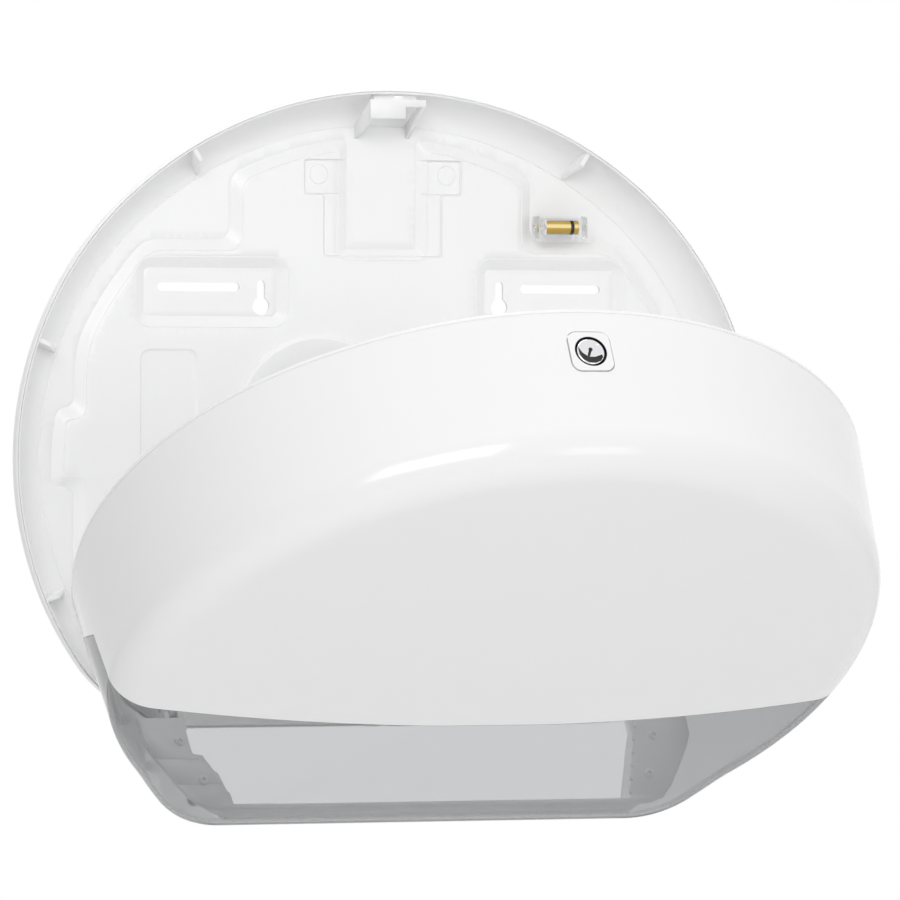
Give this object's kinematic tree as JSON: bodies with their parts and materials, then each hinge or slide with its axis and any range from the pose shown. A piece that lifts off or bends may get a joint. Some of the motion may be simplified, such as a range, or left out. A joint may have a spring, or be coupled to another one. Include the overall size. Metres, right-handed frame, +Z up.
{
  "type": "jumbo toilet roll dispenser",
  "caption": "Wall-mounted round dispenser for a jumbo toilet roll: dished back plate, deep white cover tipped open on a low hinge, smoke window, key lock and roll spindles.",
  "frame": {"origin": "on the wall plane, on the centre line, at the height of the screw line through the two keyholes' round ends", "axes": "+X to the right as a user faces it, -Y out of the wall towards the user, +Z up"},
  "size_m": [0.4368, 0.3483, 0.4023],
  "materials": {
    "plate_white": "fine satin white moulding",
    "cover_white": "smooth glossy white moulding",
    "smoke": "clear smoke-grey tint",
    "frame_white": "satin white moulding",
    "hub_grey": "satin light grey moulding",
    "steel": "bright zinc",
    "chrome": "polished",
    "friction": "matt",
    "clear": "clear",
    "vial_clear": "clear",
    "level_yellow": "tinted liquid",
    "level_gold": "glossy",
    "mark_black": "printed ring"
  },
  "bodies": {
    "plate": {"back_plate": "plate_white", "spindle_base": "plate_white", "spindle_screws": "steel", "spindle_axle": "steel", "friction_washer": "friction", "hub_cap": "plate_white", "stub_base": "plate_white", "stub_screws": "steel", "stub_axle": "steel", "stub_cap": "plate_white", "level_holder": "clear", "level_vial": "vial_clear", "level_fluid": "level_yellow", "level_marks": "mark_black", "level_plug": "level_gold"},
    "roll_hub": {"roll_hub": "hub_grey"},
    "stub_hub": {"stub_hub": "hub_grey"},
    "cover": {"cover_shell": "cover_white", "cover_window": "smoke", "outlet_frame": "frame_white", "frame_screws": "frame_white", "hinge_pins": "steel", "lock_body": "cover_white", "lock_screws": "steel"},
    "lock_barrel": {"lock_plug": "chrome", "lock_cam": "steel", "cam_screw": "steel"}
  },
  "joints": [
    {"name": "cover_hinge", "type": "hinge", "parent": "plate", "child": "cover", "pos_m": [0, -0.047, -0.2187], "axis": [1, 0, 0], "range_deg": [-54, 0]},
    {"name": "lock_turn", "type": "hinge", "parent": "cover", "child": "lock_barrel", "pos_m": [0, -0.3211, -0.02351], "axis": [0, -0.8566, 0.516], "range_deg": [0, 45]},
    {"name": "roll_hub_spin", "type": "hinge", "parent": "plate", "child": "roll_hub", "pos_m": [-0.0382, -0.06, -0.065], "axis": [0, -1, 0], "continuous": true},
    {"name": "stub_hub_spin", "type": "hinge", "parent": "plate", "child": "stub_hub", "pos_m": [0.148, -0.06, -0.08], "axis": [0, -1, 0], "continuous": true}
  ]
}
